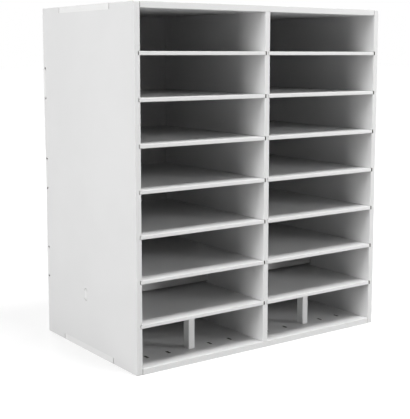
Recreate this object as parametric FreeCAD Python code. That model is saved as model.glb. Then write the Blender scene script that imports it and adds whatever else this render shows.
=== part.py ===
import FreeCAD, Part
import math
import os

# Upright mail sorter: two columns of open cells in a carcass of slotted boards.
# Millimetres, +Z up. The open front faces -Y, and the origin is the middle of the footprint.

# Outside size
width = 505.0
depth = 300.0
height = 567.0

# Board thicknesses
panel_board = 10.0            # side panels, centre divider, top and bottom panels
back_board = 6.0
shelf_board = 6.0
rail_board = 6.0

# Cells in each column
row_count = 8

# Softened edges
outline_radius = 2.0          # corners of the side panels, seen from the side
end_corner_radius = 1.5       # front corners of the top and bottom panels, seen from above
shelf_corner_radius = 2.0     # front corners of the shelves, seen from above
edge_radius = 0.8             # long edges of every board

# Shelves in their grooves
groove_depth = 3.5
groove_headroom = 0.3         # free height above a shelf in its groove
shelf_end_play = 2.5          # by how much a shelf is shorter than the span of its grooves
left_shelf_gap = 0.9          # part of that play at the left end, in the left column
right_shelf_gap = 0.4         # part of that play at the left end, in the right column
shelf_rear_gap = 0.5          # from a shelf that is pushed home to the back panel

# Fixed tabs and the notches and slots that hold them
relief_radius = 2.5           # cutter that clears the inside corners
fit_clearance = 0.1           # each side of a tab
long_tab_front = 73.2         # front face to the tabs of the top and bottom panels
long_tab_rear = 62.3          # those tabs to the rear face
long_tab_play = 1.2           # free length at each end of those tabs
back_tab_length = 50.0
back_tab_margin = 102.2       # outer back tabs to the top and the bottom of the sorter

# Tie rail across both columns, just above the lowest shelf
rail_height = 21.0
rail_above_shelf = 5.2
rail_from_front = 158.3
rail_tab_height = 18.4

# Posts in the bottom cells, and the row of slots that they can stand in
post_slots_per_cell = 5
post_width = 12.0
post_depth = 15.0
post_from_front = 39.0
post_edge_radius = 1.0
post_tab_width = 5.0
post_tab_depth = 12.0
post_tab_length = 7.5
post_tab_clearance = 0.15     # each side of the tab in its slot
post_lift_spare = 0.5         # lift beyond the tab's length that frees a post
post_headroom = 1.5           # from a lifted post to the lowest shelf

# How far cutters run past a face that they open, and how near counts as the same place
overcut = 1.0
same_place = 0.001

# Faces of the carcass
left = -width / 2
right = width / 2
front = -depth / 2
rear = depth / 2
inner_left = left + panel_board
inner_right = right - panel_board
divider_left = -panel_board / 2
divider_right = panel_board / 2
floor_top = panel_board
ceiling = height - panel_board
back_inner = rear - back_board

# Cells
cell_width = divider_left - inner_left
cell_height = (ceiling - floor_top - (row_count - 1) * shelf_board) / row_count
shelf_numbers = range(1, row_count)

# Spans that the tabs share with their notches and slots
long_tab_span = (front + long_tab_front, rear - long_tab_rear)
back_tab_spans = [
    (back_tab_margin, back_tab_margin + back_tab_length),
    (height / 2 - back_tab_length / 2, height / 2 + back_tab_length / 2),
    (height - back_tab_margin - back_tab_length, height - back_tab_margin),
]


def shelf_underside(number):
    """Height of a shelf's under face. Shelves are numbered from the top."""
    return ceiling - number * (cell_height + shelf_board)


lowest_shelf = shelf_underside(row_count - 1)
rail_bottom = lowest_shelf + shelf_board + rail_above_shelf
rail_span = (rail_bottom, rail_bottom + rail_height)
rail_tab_bottom = rail_bottom + (rail_height - rail_tab_height) / 2
rail_tab_span = (rail_tab_bottom, rail_tab_bottom + rail_tab_height)
rail_depth_span = (front + rail_from_front, front + rail_from_front + rail_board)

post_lift = post_tab_length + post_lift_spare
post_top = lowest_shelf - post_headroom - post_lift
post_middle = front + post_from_front + post_depth / 2
bay_width = (cell_width - post_slots_per_cell * post_width) / (post_slots_per_cell + 1)
post_pitch = bay_width + post_width
cell_middles = ((inner_left + divider_left) / 2, (divider_right + inner_right) / 2)


def box(x_span, y_span, z_span):
    """Box between two values on each axis."""
    corner = FreeCAD.Vector(x_span[0], y_span[0], z_span[0])
    sides = [span[1] - span[0] for span in (x_span, y_span, z_span)]
    return Part.makeBox(sides[0], sides[1], sides[2], corner)


def widened(span, amount):
    """A span made longer by the same amount at both ends."""
    return (span[0] - amount, span[1] + amount)


def about(middle, length):
    """A span of a given length about its middle."""
    return (middle - length / 2, middle + length / 2)


def joined(shape, others):
    """One solid of a shape and what is added to it."""
    for other in others:
        shape = shape.fuse(other)
    return shape.removeSplitter()


def edges_at(edges, axis, values):
    """The edges that lie wholly at one of the values of an axis."""
    found = []
    for edge in edges:
        low = getattr(edge.BoundBox, axis + "Min")
        high = getattr(edge.BoundBox, axis + "Max")
        for value in values:
            if abs(low - value) < same_place and abs(high - value) < same_place:
                found.append(edge)
    return found


def edges_along(edges, axis):
    """The straight edges that run along an axis."""
    found = []
    for edge in edges:
        size = getattr(edge.BoundBox, axis + "Length")
        if abs(edge.Length - size) < same_place:
            found.append(edge)
    return found


def front_edges(shape, axis):
    """Straight edges of a shape's front face that run along an axis."""
    return edges_at(edges_along(shape.Edges, axis), "Y", (front,))


def slot_reliefs(spans, through):
    """Round reliefs in the four corners of a slot that runs through a board along an axis.

    Each circle passes through its corner, so it clears the corner and little else.
    """
    inset = relief_radius / math.sqrt(2)
    axes = [axis for axis in (0, 1, 2) if axis != through]
    start = [span[0] for span in spans]
    direction = [0, 0, 0]
    direction[through] = 1
    length = spans[through][1] - spans[through][0]
    reliefs = []
    for first in widened(spans[axes[0]], -inset):
        for second in widened(spans[axes[1]], -inset):
            start[axes[0]] = first
            start[axes[1]] = second
            reliefs.append(Part.makeCylinder(relief_radius, length,
                                             FreeCAD.Vector(*start), FreeCAD.Vector(*direction)))
    return reliefs


def relieved_slot(x_span, y_span, z_span, through):
    """Cutter for a slot with round reliefs in its corners."""
    spans = (x_span, y_span, z_span)
    return joined(box(x_span, y_span, z_span), slot_reliefs(spans, through))


def shelf_grooves(x_span):
    """Cutters for the grooves of one board face, open at the front."""
    grooves = []
    for number in shelf_numbers:
        bottom = shelf_underside(number)
        z_span = (bottom, bottom + shelf_board + groove_headroom)
        grooves.append(box(x_span, (front - overcut, back_inner), z_span))
    return grooves


def side_panel(x_span, inner_face, into_board):
    """Outer board: grooves inside, notches for the other boards' tabs, a slot for the rail."""
    board = box(x_span, (front, rear), (0, height))
    board = board.makeFillet(outline_radius, edges_along(board.Edges, "X"))
    board = board.makeFillet(edge_radius, edges_at(board.Edges, "X", x_span))
    through = widened(x_span, overcut)
    groove_bottom = inner_face + into_board * groove_depth
    cutters = shelf_grooves(sorted((inner_face - into_board * overcut, groove_bottom)))
    notch = widened(long_tab_span, long_tab_play)
    cutters.append(box(through, notch, (-overcut, floor_top)))
    cutters.append(box(through, notch, (ceiling, height + overcut)))
    for span in back_tab_spans:
        notch = widened(span, fit_clearance)
        cutters.append(box(through, (back_inner, rear + overcut), notch))
        for corner in notch:
            start = FreeCAD.Vector(through[0], back_inner, corner)
            length = through[1] - through[0]
            cutters.append(Part.makeCylinder(relief_radius, length, start, FreeCAD.Vector(1, 0, 0)))
    cutters.append(relieved_slot(through, widened(rail_depth_span, fit_clearance),
                                 widened(rail_tab_span, fit_clearance), 0))
    return board.cut(cutters)


def centre_divider():
    """Board between the columns: grooved on both faces, tabbed into top, bottom and back."""
    x_span = (divider_left, divider_right)
    board = box(x_span, (front, back_inner), (floor_top, ceiling))
    board = board.makeFillet(edge_radius, front_edges(board, "Z"))
    tabs = [box(x_span, long_tab_span, (0, height))]
    tabs += [box(x_span, (back_inner - overcut, rear), span) for span in back_tab_spans]
    board = joined(board, tabs)
    cutters = shelf_grooves((divider_left - overcut, divider_left + groove_depth))
    cutters += shelf_grooves((divider_right - groove_depth, divider_right + overcut))
    cutters.append(relieved_slot(widened(x_span, overcut), widened(rail_depth_span, fit_clearance),
                                 widened(rail_span, fit_clearance), 0))
    return board.cut(cutters)


def level_panel(z_span):
    """Top or bottom panel: tabs through the side panels, a slot for the divider's tab."""
    x_span = (inner_left, inner_right)
    board = box(x_span, (front, back_inner), z_span)
    board = board.makeFillet(end_corner_radius, front_edges(board, "Z"))
    board = board.makeFillet(edge_radius, front_edges(board, "X"))
    board = joined(board, [box((left, right), long_tab_span, z_span)])
    tab_slot = relieved_slot(widened((divider_left, divider_right), fit_clearance),
                             widened(long_tab_span, long_tab_play),
                             widened(z_span, overcut), 2)
    return board.cut([tab_slot])


def bottom_panel():
    """Bottom panel with a row of post slots in each cell."""
    z_span = (0, floor_top)
    cutters = []
    for middle in cell_middles:
        for place in range(post_slots_per_cell):
            offset = (place - (post_slots_per_cell - 1) / 2) * post_pitch
            x_span = about(middle + offset, post_tab_width + 2 * post_tab_clearance)
            y_span = about(post_middle, post_tab_depth + 2 * post_tab_clearance)
            cutters.append(box(x_span, y_span, widened(z_span, overcut)))
    return level_panel(z_span).cut(cutters)


def back_panel():
    """Thin board behind the cells, tabbed into the side panels and slotted for the divider."""
    board = box((inner_left, inner_right), (back_inner, rear), (0, height))
    board = board.makeFillet(edge_radius, edges_at(board.Edges, "Y", (rear,)))
    board = joined(board, [box((left, right), (back_inner, rear), span) for span in back_tab_spans])
    cutters = []
    for span in back_tab_spans:
        cutters.append(relieved_slot(widened((divider_left, divider_right), fit_clearance),
                                     (back_inner - overcut, rear + overcut),
                                     widened(span, fit_clearance), 1))
    return board.cut(cutters)


def tie_rail():
    """Narrow board through the divider, with its end tabs through the side panels."""
    rail = box((inner_left, inner_right), rail_depth_span, rail_span)
    rail = rail.makeFillet(edge_radius, edges_along(rail.Edges, "X"))
    return joined(rail, [box((left, right), rail_depth_span, rail_tab_span)])


def shelf(column_left, end_gap, number):
    """Loose shelf in the grooves of one cell, resting on their lower faces."""
    groove_left = column_left - groove_depth + end_gap
    length = cell_width + 2 * groove_depth - shelf_end_play
    bottom = shelf_underside(number)
    board = box((groove_left, groove_left + length), (front, back_inner - shelf_rear_gap),
                (bottom, bottom + shelf_board))
    board = board.makeFillet(shelf_corner_radius, front_edges(board, "Z"))
    return board.makeFillet(edge_radius, edges_along(board.Edges, "X"))


def post(middle):
    """Loose post standing on the bottom panel, with a tab in the middle slot of its cell."""
    block = box(about(middle, post_width), about(post_middle, post_depth), (floor_top, post_top))
    block = block.makeFillet(post_edge_radius, edges_along(block.Edges, "Z"))
    block = block.makeFillet(edge_radius, edges_at(block.Edges, "Z", (post_top,)))
    tab_foot = floor_top - post_tab_length
    tab = box(about(middle, post_tab_width), about(post_middle, post_tab_depth),
              (tab_foot, floor_top))
    tab = tab.makeChamfer(edge_radius, edges_at(tab.Edges, "Z", (tab_foot,)))
    return joined(block, [tab])


def save(name, shape):
    """Writes one piece, and says whether it is one sound solid."""
    print(f"{name}: {len(shape.Solids)} solid, valid {shape.isValid()}, {shape.Volume:.0f} mm3")
    shape.exportStep(f"parts/{name}.step")


def build_all():
    """Makes every piece of the sorter in its place."""
    os.makedirs("parts", exist_ok=True)
    save("left_side_panel", side_panel((left, inner_left), inner_left, -1))
    save("right_side_panel", side_panel((inner_right, right), inner_right, 1))
    save("centre_divider", centre_divider())
    save("top_panel", level_panel((ceiling, height)))
    save("bottom_panel", bottom_panel())
    save("back_panel", back_panel())
    save("tie_rail", tie_rail())
    for number in shelf_numbers:
        save(f"shelf_left_{number}", shelf(inner_left, left_shelf_gap, number))
        save(f"shelf_right_{number}", shelf(divider_right, right_shelf_gap, number))
    for name, middle in zip(("post_left", "post_right"), cell_middles):
        save(name, post(middle))


build_all()
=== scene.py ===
import math

import bpy
from bpy.props import FloatProperty, FloatVectorProperty, PointerProperty
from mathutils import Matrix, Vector


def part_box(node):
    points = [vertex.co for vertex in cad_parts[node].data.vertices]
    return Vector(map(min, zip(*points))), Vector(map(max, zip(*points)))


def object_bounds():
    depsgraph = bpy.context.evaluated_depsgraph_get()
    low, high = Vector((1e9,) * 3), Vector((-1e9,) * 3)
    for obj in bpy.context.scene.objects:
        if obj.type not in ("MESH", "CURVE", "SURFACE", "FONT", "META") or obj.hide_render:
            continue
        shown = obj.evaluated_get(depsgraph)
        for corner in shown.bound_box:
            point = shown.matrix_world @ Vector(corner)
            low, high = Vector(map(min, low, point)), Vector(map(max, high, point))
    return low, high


bl_info = {
    "name": "Mail sorter finish",
    "version": (1, 0, 0),
    "blender": (4, 5, 0),
    "location": "View3D > Sidebar > Mail Sorter",
    "description": "Finishes the boards of a mail sorter and sets it up for a studio picture",
    "category": "Object",
}

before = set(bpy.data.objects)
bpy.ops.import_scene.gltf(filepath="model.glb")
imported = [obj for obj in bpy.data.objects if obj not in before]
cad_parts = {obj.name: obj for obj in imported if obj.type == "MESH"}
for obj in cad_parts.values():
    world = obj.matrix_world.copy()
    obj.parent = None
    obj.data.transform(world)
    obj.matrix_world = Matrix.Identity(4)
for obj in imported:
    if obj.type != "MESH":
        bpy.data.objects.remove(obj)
cad_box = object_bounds()

# Camera: where the photograph was taken from, in metres, and where it looks, in degrees
CAMERA_PLACE = (-0.9758, -1.3349, 0.4876)
CAMERA_YAW = 35.68
CAMERA_PITCH = -7.33
CAMERA_SHIFT = -0.08
SENSOR_WIDTH = 36.0

# Floor, in metres: its reach to each side, and how far out its glow turns to plain white
FLOOR_REACH = 30.0
TURNS_WHITE = (0.6, 2.4)

# Lamps: how far off they stand and how wide they are by how high, in metres, and then the azimuth
# and elevation of each in degrees, with its size
LAMP_DISTANCE = 3.2
SQUARE_LAMP = (1.0, 1.0)
TALL_LAMP = (1.0, 2.0)
LAMPS = {
    "key_lamp": (18.0, 70.0, SQUARE_LAMP),
    "side_lamp": (-80.0, 15.0, TALL_LAMP),
    "front_lamp": (40.0, 5.0, SQUARE_LAMP),
    "right_lamp": (105.0, 10.0, SQUARE_LAMP),
    "back_lamp": (170.0, 10.0, SQUARE_LAMP),
}

# Sizes of the cloudy marks on the coat, in metres
DRIFT_SIZE = 0.13
SCUFF_SIZE = 0.028
RUB_PATCH_SIZE = 0.011

# Levels of its noise, from 0 to 1, over which each kind of mark comes in
DRIFT_LEVELS = (0.3, 0.7)
EDGE_FIBRE_LEVELS = (0.35, 0.7)
SCUFF_LEVELS = (0.66, 0.8)
RUB_LEVELS = (0.5, 0.72)
BARE_AND_PAINTED_SHADE_LEVELS = (0.3, 0.7)
GRAIN_LEVELS = (0.3, 0.7)

# How much each kind of mark changes the coat: factors on its colour, and how far it covers it
DRIFT_SHADES = (0.985, 1.012)
# Tones of the fibre on the cut edges, whose lighter white is painted light
EDGE_FIBRE_TONES = (0.97, 1.02)
SCUFF_SHADE = 0.93
SCUFF_COVER = 0.25
RUB_COVER = 0.55
# Tones of the fibre on the dark uncoated-board colour, which is partly painted shade
BARE_AND_PAINTED_SHADE_TONES = (0.85, 1.15)
ROUGHNESS_SPREAD = 0.04
DULL_EDGE = 0.16              # added to the roughness of cut edges and bare board

# Cosines of two angles: of a surface to its board's thin direction, from a cut edge to a face,
# and of a real surface to its rounded one, from a corner to a flat
EDGE_TO_FACE = (0.35, 0.85)
CORNER_TO_FLAT = (0.8, 0.995)

COAT_END_BLUR = 0.3           # share of the coat's reach by which its end is blurred each way
ONE_TO_NOUGHT = (1.0, 0.0)

SIDE_PANELS = ("left_side_panel", "right_side_panel")
LEVEL_PANELS = ("top_panel", "bottom_panel")
SHELVES = tuple(sorted(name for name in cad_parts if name.startswith("shelf_")))
POSTS = tuple(sorted(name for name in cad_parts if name.startswith("post_")))


class BoardFinish(bpy.types.PropertyGroup):
    """The white coat on the boards."""

    coat: FloatVectorProperty(
        name="Coat", description="Colour of the white coat on the boards",
        subtype="COLOR", size=3, min=0.0, max=1.0, default=(0.70, 0.70, 0.70))
    # Painted light: the cut edges take a lighter white than the faces, which stands in for light
    # on the front edges
    painted_light_edge: FloatVectorProperty(
        name="Cut edge", description="Colour of the coat where it has soaked into a cut edge",
        subtype="COLOR", size=3, min=0.0, max=1.0, default=(0.78, 0.78, 0.777))
    rubbed: FloatVectorProperty(
        name="Rubbed edge", description="Colour where handling has rubbed the corners",
        subtype="COLOR", size=3, min=0.0, max=1.0, default=(0.60, 0.596, 0.585))
    # Partly uncoated board and partly painted shade: a dark colour in grooves, slots, notches and
    # on the rounded corners
    bare_and_painted_shade: FloatVectorProperty(
        name="Bare board", description="Colour of the uncoated board inside grooves and slots",
        subtype="COLOR", size=3, min=0.0, max=1.0, default=(0.22, 0.21, 0.195))
    roughness: FloatProperty(
        name="Roughness", description="Roughness of the coat on a flat face",
        subtype="FACTOR", min=0.0, max=1.0, default=0.52)
    gloss: FloatProperty(
        name="Gloss", description="Strength of the reflection on the coat, low for a matt paint",
        subtype="FACTOR", min=0.0, max=1.0, default=0.3)
    stipple_size: FloatProperty(
        name="Stipple size", description="Distance between the low bumps that the roller leaves",
        subtype="DISTANCE", unit="LENGTH", default=0.0016)
    stipple_height: FloatProperty(
        name="Stipple height", description="Height of those bumps",
        subtype="DISTANCE", unit="LENGTH", default=0.00002)
    fibre_size: FloatProperty(
        name="Fibre size", description="Size of the fibre marks in a cut edge",
        subtype="DISTANCE", unit="LENGTH", default=0.0007)
    rub_width: FloatProperty(
        name="Rub width", description="How far handling marks reach from a corner",
        subtype="DISTANCE", unit="LENGTH", default=0.0012)
    coat_reach: FloatProperty(
        name="Coat reach", description="How far the coat reaches into a groove or slot",
        subtype="DISTANCE", unit="LENGTH", default=0.0003)
    corner_radius: FloatProperty(
        name="Corner radius", description="Radius of the most rounded corners of a board",
        subtype="DISTANCE", unit="LENGTH", default=0.002)


class StudioSettings(bpy.types.PropertyGroup):
    """Floor, lamps and camera."""

    floor_colour: FloatVectorProperty(
        name="Floor", description="Colour that the floor throws back onto the object",
        subtype="COLOR", size=3, min=0.0, max=1.0, default=(0.34, 0.34, 0.34))
    floor_glow: FloatProperty(
        name="Floor glow", description="What the camera sees added to the floor near the object",
        subtype="FACTOR", min=0.0, max=1.0, default=0.70)
    key_strength: FloatProperty(
        name="Key lamp", description="Power of the high lamp above the front",
        unit="POWER", min=0.0, default=90.0)
    side_strength: FloatProperty(
        name="Side lamp", description="Power of the low lamp on the left",
        unit="POWER", min=0.0, default=84.0)
    front_strength: FloatProperty(
        name="Front lamp", description="Power of the low lamp in front",
        unit="POWER", min=0.0, default=46.0)
    right_strength: FloatProperty(
        name="Right lamp", description="Power of the low lamp on the right",
        unit="POWER", min=0.0, default=45.0)
    back_strength: FloatProperty(
        name="Back lamp", description="Power of the low lamp behind",
        unit="POWER", min=0.0, default=64.0)
    ambient: FloatProperty(
        name="Ambient", description="Light that comes from all round",
        min=0.0, default=0.03)
    lens: FloatProperty(
        name="Lens", description="Focal length of the camera",
        subtype="DISTANCE_CAMERA", default=80.56)


def add_node(tree, kind, **inputs):
    """A shader node with some of its inputs set by name."""
    node = tree.nodes.new(kind)
    for name, value in inputs.items():
        node.inputs[name.replace("_", " ")].default_value = value
    return node


def noise(tree, position, size, detail=2.0, roughness=0.5):
    """Cloudy pattern whose marks are about a given size, in metres."""
    node = add_node(tree, "ShaderNodeTexNoise", Scale=1.0 / size, Detail=detail,
                    Roughness=roughness)
    tree.links.new(position, node.inputs["Vector"])
    return node.outputs["Fac"]


def ramped(tree, value, levels, results=(0.0, 1.0)):
    """A value taken from two levels to two results, smoothly between them and level beyond."""
    node = tree.nodes.new("ShaderNodeMapRange")
    node.interpolation_type = "SMOOTHSTEP"
    names = ("From Min", "From Max", "To Min", "To Max")
    for name, limit in zip(names, (*levels, *results)):
        node.inputs[name].default_value = limit
    tree.links.new(value, node.inputs["Value"])
    return node.outputs["Result"]


def math_of(tree, operation, first, second):
    """Arithmetic on two values, each a socket or a number."""
    node = tree.nodes.new("ShaderNodeMath")
    node.operation = operation
    for socket, value in zip(node.inputs, (first, second)):
        if isinstance(value, (int, float)):
            socket.default_value = value
        else:
            tree.links.new(value, socket)
    return node.outputs["Value"]


def colour_mix(tree, amount, first, second):
    """Two colours mixed by an amount, each a socket or a colour."""
    node = tree.nodes.new("ShaderNodeMix")
    node.data_type = "RGBA"
    tree.links.new(amount, node.inputs["Factor"])
    for name, value in (("A", first), ("B", second)):
        socket = [each for each in node.inputs if each.name == name and each.type == "RGBA"][0]
        if isinstance(value, tuple):
            socket.default_value = (*value, 1.0)
        else:
            tree.links.new(value, socket)
    return [each for each in node.outputs if each.type == "RGBA"][0]


def shaded(colour, factor):
    """A colour made darker or lighter by a factor."""
    return tuple(min(1.0, channel * factor) for channel in colour)


def vector_of(tree, operation, first, second):
    """Arithmetic on two vectors, each a socket or three numbers."""
    node = tree.nodes.new("ShaderNodeVectorMath")
    node.operation = operation
    for socket, value in zip(node.inputs, (first, second)):
        if isinstance(value, (tuple, Vector)):
            socket.default_value = value
        else:
            tree.links.new(value, socket)
    return node.outputs["Vector"]


def length_of(tree, vector):
    """Length of a vector."""
    node = tree.nodes.new("ShaderNodeVectorMath")
    node.operation = "LENGTH"
    tree.links.new(vector, node.inputs[0])
    return node.outputs["Value"]


def below_outline(tree, position, low, high, rounding):
    """How far a point lies inside a box with rounded corners, up to their radius."""
    middle = (Vector(low) + Vector(high)) / 2
    core = (Vector(high) - Vector(low)) / 2 - Vector((rounding, rounding, rounding))
    nought = (0.0, 0.0, 0.0)
    off_middle = vector_of(tree, "ABSOLUTE", vector_of(tree, "SUBTRACT", position, middle), nought)
    beyond = vector_of(tree, "MAXIMUM", vector_of(tree, "SUBTRACT", off_middle, core), nought)
    return math_of(tree, "SUBTRACT", rounding, length_of(tree, beyond))


def bump(tree, height, distance, normal=None):
    """Low relief on top of another one, if there is one."""
    node = tree.nodes.new("ShaderNodeBump")
    node.inputs["Distance"].default_value = distance
    tree.links.new(height, node.inputs["Height"])
    if normal is not None:
        tree.links.new(normal, node.inputs["Normal"])
    return node.outputs["Normal"]


def at_corners(tree, reach):
    """One on the corners and edges of a board, nought elsewhere."""
    rounded = tree.nodes.new("ShaderNodeBevel")
    rounded.samples = 4
    rounded.inputs["Radius"].default_value = reach
    plain = tree.nodes.new("ShaderNodeNewGeometry")
    turned = tree.nodes.new("ShaderNodeVectorMath")
    turned.operation = "DOT_PRODUCT"
    tree.links.new(rounded.outputs["Normal"], turned.inputs[0])
    tree.links.new(plain.outputs["True Normal"], turned.inputs[1])
    return ramped(tree, turned.outputs["Value"], CORNER_TO_FLAT, ONE_TO_NOUGHT)


def coated_board(name, finish, thin_axis):
    """White coat on a board: roller stipple on its faces, fibre on its cut edges with a lighter
    white that is painted light, rubbed corners.

    Grooves, slots and notches cut through the coat and show a dark uncoated-board colour, partly
    the board and partly painted shade, which the rounded corners of the outline take too.
    """
    low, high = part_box(name)
    material = bpy.data.materials.new(name + "_coat")
    material.use_nodes = True
    tree = material.node_tree
    tree.nodes.clear()
    output = tree.nodes.new("ShaderNodeOutputMaterial")
    shader = tree.nodes.new("ShaderNodeBsdfPrincipled")
    tree.links.new(shader.outputs["BSDF"], output.inputs["Surface"])
    shader.inputs["Specular IOR Level"].default_value = finish.gloss
    own = tree.nodes.new("ShaderNodeTexCoord")
    position = own.outputs["Object"]

    facing = tree.nodes.new("ShaderNodeSeparateXYZ")
    tree.links.new(own.outputs["Normal"], facing.inputs["Vector"])
    along = math_of(tree, "ABSOLUTE", facing.outputs[thin_axis], 0.0)
    on_edge = ramped(tree, along, EDGE_TO_FACE, ONE_TO_NOUGHT)

    clouds = noise(tree, position, DRIFT_SIZE, detail=3.0)
    coat = colour_mix(tree, ramped(tree, clouds, DRIFT_LEVELS),
                      *[shaded(finish.coat, shade) for shade in DRIFT_SHADES])
    fibre = noise(tree, position, finish.fibre_size, detail=4.0, roughness=0.65)
    # Painted light on the cut edges: a lighter white than the faces, with the fibre's tones on it
    fibre_and_painted_light = colour_mix(tree, ramped(tree, fibre, EDGE_FIBRE_LEVELS),
                        *[shaded(finish.painted_light_edge, shade) for shade in EDGE_FIBRE_TONES])
    body = colour_mix(tree, on_edge, coat, fibre_and_painted_light)

    clouds = noise(tree, position, SCUFF_SIZE, detail=6.0, roughness=0.7)
    scuffs = ramped(tree, clouds, SCUFF_LEVELS, (0.0, SCUFF_COVER))
    body = colour_mix(tree, scuffs, body, shaded(finish.coat, SCUFF_SHADE))

    clouds = noise(tree, position, RUB_PATCH_SIZE, detail=5.0, roughness=0.7)
    patches = ramped(tree, clouds, RUB_LEVELS, (0.0, RUB_COVER))
    rub = math_of(tree, "MULTIPLY", at_corners(tree, finish.rub_width), patches)
    body = colour_mix(tree, rub, body, tuple(finish.rubbed))

    # Partly uncoated board and partly painted shade: a dark colour deeper than the coat's reach
    # below the rounded outline, in grooves, slots, notches and rounded corners
    depth = below_outline(tree, position, low, high, finish.corner_radius)
    coat_ends = (finish.coat_reach * (1 - COAT_END_BLUR), finish.coat_reach * (1 + COAT_END_BLUR))
    painted_shade_in_cut = ramped(tree, depth, coat_ends)
    bare_and_painted_shade = colour_mix(tree, ramped(tree, fibre, BARE_AND_PAINTED_SHADE_LEVELS),
                      *[shaded(finish.bare_and_painted_shade, shade) for shade in BARE_AND_PAINTED_SHADE_TONES])
    body = colour_mix(tree, painted_shade_in_cut, body, bare_and_painted_shade)
    tree.links.new(body, shader.inputs["Base Color"])

    grain = noise(tree, position, finish.stipple_size, detail=3.0, roughness=0.6)
    sheen = ramped(tree, grain, GRAIN_LEVELS, (finish.roughness - ROUGHNESS_SPREAD,
                                               finish.roughness + ROUGHNESS_SPREAD))
    dull = math_of(tree, "MULTIPLY", math_of(tree, "MAXIMUM", on_edge, painted_shade_in_cut), DULL_EDGE)
    tree.links.new(math_of(tree, "ADD", sheen, dull), shader.inputs["Roughness"])

    stipple = bump(tree, grain, finish.stipple_height)
    fibres = math_of(tree, "MULTIPLY", fibre, on_edge)
    tree.links.new(bump(tree, fibres, finish.stipple_height, stipple), shader.inputs["Normal"])
    return material


def dress(name, finish, thin_axis):
    """Gives a CAD board its coat in place of the plain material."""
    material = coated_board(name, finish, thin_axis)
    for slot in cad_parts[name].material_slots:
        slot.material = material


class SORTER_OT_side_panels(bpy.types.Operator):
    """Coat the two outer boards"""

    bl_idname = "sorter.side_panels"
    bl_label = "Finish Side Panels"

    def execute(self, context):
        for name in SIDE_PANELS:
            dress(name, context.scene.sorter_finish, "X")
        return {"FINISHED"}


class SORTER_OT_centre_divider(bpy.types.Operator):
    """Coat the upright board between the two columns"""

    bl_idname = "sorter.centre_divider"
    bl_label = "Finish Centre Divider"

    def execute(self, context):
        dress("centre_divider", context.scene.sorter_finish, "X")
        return {"FINISHED"}


class SORTER_OT_level_panels(bpy.types.Operator):
    """Coat the top and bottom boards"""

    bl_idname = "sorter.level_panels"
    bl_label = "Finish Top and Bottom Panels"

    def execute(self, context):
        for name in LEVEL_PANELS:
            dress(name, context.scene.sorter_finish, "Z")
        return {"FINISHED"}


class SORTER_OT_back_panel(bpy.types.Operator):
    """Coat the thin board behind the cells"""

    bl_idname = "sorter.back_panel"
    bl_label = "Finish Back Panel"

    def execute(self, context):
        dress("back_panel", context.scene.sorter_finish, "Y")
        return {"FINISHED"}


class SORTER_OT_tie_rail(bpy.types.Operator):
    """Coat the narrow board that ties the columns together"""

    bl_idname = "sorter.tie_rail"
    bl_label = "Finish Tie Rail"

    def execute(self, context):
        dress("tie_rail", context.scene.sorter_finish, "Y")
        return {"FINISHED"}


class SORTER_OT_shelves(bpy.types.Operator):
    """Coat the loose shelves"""

    bl_idname = "sorter.shelves"
    bl_label = "Finish Shelves"

    def execute(self, context):
        for name in SHELVES:
            dress(name, context.scene.sorter_finish, "Z")
        return {"FINISHED"}


class SORTER_OT_posts(bpy.types.Operator):
    """Coat the two loose posts of the bottom cells"""

    bl_idname = "sorter.posts"
    bl_label = "Finish Posts"

    def execute(self, context):
        for name in POSTS:
            dress(name, context.scene.sorter_finish, "Z")
        return {"FINISHED"}


def direction(azimuth, elevation):
    """Unit vector towards a place in the sky. Azimuth 0 is in front and 90 on the right."""
    turn = math.radians(azimuth)
    rise = math.radians(elevation)
    return Vector((math.sin(turn) * math.cos(rise), -math.cos(turn) * math.cos(rise),
                   math.sin(rise)))


def soft_lamp(name, power, target):
    """One of the studio's lamps, pointed at a target."""
    azimuth, elevation, size = LAMPS[name]
    lamp = bpy.data.lights.new(name, "AREA")
    lamp.shape = "RECTANGLE"
    lamp.size, lamp.size_y = size
    lamp.energy = power
    stand = bpy.data.objects.new(name, lamp)
    way = direction(azimuth, elevation)
    stand.location = target + way * LAMP_DISTANCE
    stand.rotation_mode = "QUATERNION"
    stand.rotation_quaternion = way.to_track_quat("Z", "Y")
    stand.visible_camera = False
    bpy.context.scene.collection.objects.link(stand)


def seen_directly(tree):
    """One for what the camera sees, straight or in a gloss, and nought for light on the object."""
    path = tree.nodes.new("ShaderNodeLightPath")
    seen = math_of(tree, "MAXIMUM", path.outputs["Is Camera Ray"], path.outputs["Is Glossy Ray"])
    return math_of(tree, "MAXIMUM", seen, path.outputs["Is Transmission Ray"])


def studio_floor(settings):
    """Large pale floor, which looks white where nothing shades it."""
    reach = FLOOR_REACH
    mesh = bpy.data.meshes.new("studio_floor")
    mesh.from_pydata([(-reach, -reach, 0), (reach, -reach, 0), (reach, reach, 0),
                      (-reach, reach, 0)], [], [(0, 1, 2, 3)])
    floor = bpy.data.objects.new("studio_floor", mesh)
    bpy.context.scene.collection.objects.link(floor)
    material = bpy.data.materials.new("studio_floor_paint")
    material.use_nodes = True
    tree = material.node_tree
    tree.nodes.clear()
    output = tree.nodes.new("ShaderNodeOutputMaterial")
    paint = tree.nodes.new("ShaderNodeBsdfDiffuse")
    paint.inputs["Color"].default_value = (*settings.floor_colour, 1.0)
    glow = tree.nodes.new("ShaderNodeEmission")
    own = tree.nodes.new("ShaderNodeTexCoord")
    away = length_of(tree, own.outputs["Object"])
    whiter = ramped(tree, away, TURNS_WHITE, (settings.floor_glow, 1.0))
    tree.links.new(math_of(tree, "MULTIPLY", seen_directly(tree), whiter), glow.inputs["Strength"])
    both = tree.nodes.new("ShaderNodeAddShader")
    tree.links.new(paint.outputs["BSDF"], both.inputs[0])
    tree.links.new(glow.outputs["Emission"], both.inputs[1])
    tree.links.new(both.outputs["Shader"], output.inputs["Surface"])
    mesh.materials.append(material)


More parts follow.
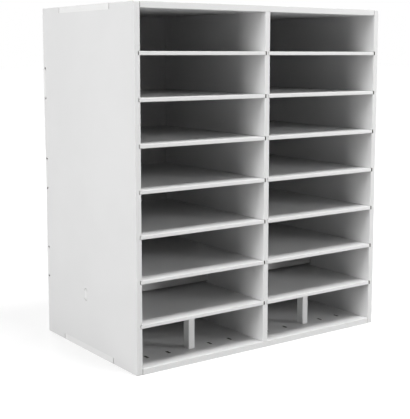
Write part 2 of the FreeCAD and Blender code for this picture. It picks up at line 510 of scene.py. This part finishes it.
def studio_world(settings):
    """White surroundings for the camera, a low even light for the object."""
    world = bpy.data.worlds.new("studio")
    bpy.context.scene.world = world
    world.use_nodes = True
    tree = world.node_tree
    tree.nodes.clear()
    output = tree.nodes.new("ShaderNodeOutputWorld")
    white = (1.0, 1.0, 1.0, 1.0)
    light = add_node(tree, "ShaderNodeBackground", Color=white, Strength=settings.ambient)
    seen = add_node(tree, "ShaderNodeBackground", Color=white)
    both = tree.nodes.new("ShaderNodeMixShader")
    tree.links.new(seen_directly(tree), both.inputs["Fac"])
    tree.links.new(light.outputs["Background"], both.inputs[1])
    tree.links.new(seen.outputs["Background"], both.inputs[2])
    tree.links.new(both.outputs["Shader"], output.inputs["Surface"])


def studio_camera(settings):
    """Camera at the photograph's viewing angle."""
    lens = bpy.data.cameras.new("studio_camera")
    lens.lens = settings.lens
    lens.sensor_width = SENSOR_WIDTH
    lens.shift_y = CAMERA_SHIFT
    camera = bpy.data.objects.new("studio_camera", lens)
    camera.location = CAMERA_PLACE
    yaw = math.radians(CAMERA_YAW)
    pitch = math.radians(CAMERA_PITCH)
    ahead = Vector((math.sin(yaw) * math.cos(pitch), math.cos(yaw) * math.cos(pitch),
                    math.sin(pitch)))
    camera.rotation_mode = "QUATERNION"
    camera.rotation_quaternion = ahead.to_track_quat("-Z", "Y")
    bpy.context.scene.collection.objects.link(camera)
    bpy.context.scene.camera = camera


class SORTER_OT_studio(bpy.types.Operator):
    """Set up the floor, the lamps and the camera"""

    bl_idname = "sorter.studio"
    bl_label = "Set Up Studio"

    def execute(self, context):
        settings = context.scene.sorter_studio
        low, high = cad_box
        target = (Vector(low) + Vector(high)) / 2
        studio_floor(settings)
        studio_world(settings)
        soft_lamp("key_lamp", settings.key_strength, target)
        soft_lamp("side_lamp", settings.side_strength, target)
        soft_lamp("front_lamp", settings.front_strength, target)
        soft_lamp("right_lamp", settings.right_strength, target)
        soft_lamp("back_lamp", settings.back_strength, target)
        studio_camera(settings)
        context.scene.view_settings.view_transform = "Standard"
        return {"FINISHED"}


class SORTER_PT_panel(bpy.types.Panel):
    """Buttons and settings of the mail sorter"""

    bl_idname = "SORTER_PT_panel"
    bl_label = "Mail Sorter"
    bl_space_type = "VIEW_3D"
    bl_region_type = "UI"
    bl_category = "Mail Sorter"

    def draw(self, context):
        layout = self.layout
        for group in (context.scene.sorter_finish, context.scene.sorter_studio):
            box = layout.box()
            for name in group.__annotations__:
                box.prop(group, name)
        for operator in OPERATORS:
            layout.operator(operator.bl_idname)


GROUPS = (BoardFinish, StudioSettings)
OPERATORS = (
    SORTER_OT_side_panels,
    SORTER_OT_centre_divider,
    SORTER_OT_level_panels,
    SORTER_OT_back_panel,
    SORTER_OT_tie_rail,
    SORTER_OT_shelves,
    SORTER_OT_posts,
    SORTER_OT_studio,
)


def register():
    for each in GROUPS + OPERATORS + (SORTER_PT_panel,):
        bpy.utils.register_class(each)
    bpy.types.Scene.sorter_finish = PointerProperty(type=BoardFinish)
    bpy.types.Scene.sorter_studio = PointerProperty(type=StudioSettings)


def unregister():
    del bpy.types.Scene.sorter_studio
    del bpy.types.Scene.sorter_finish
    for each in reversed(GROUPS + OPERATORS + (SORTER_PT_panel,)):
        bpy.utils.unregister_class(each)


def main():
    """Registers the classes and makes the scene in order."""
    register()
    bpy.ops.sorter.side_panels()
    bpy.ops.sorter.centre_divider()
    bpy.ops.sorter.level_panels()
    bpy.ops.sorter.back_panel()
    bpy.ops.sorter.tie_rail()
    bpy.ops.sorter.shelves()
    bpy.ops.sorter.posts()
    bpy.ops.sorter.studio()


if __name__ == "__main__":
    main()
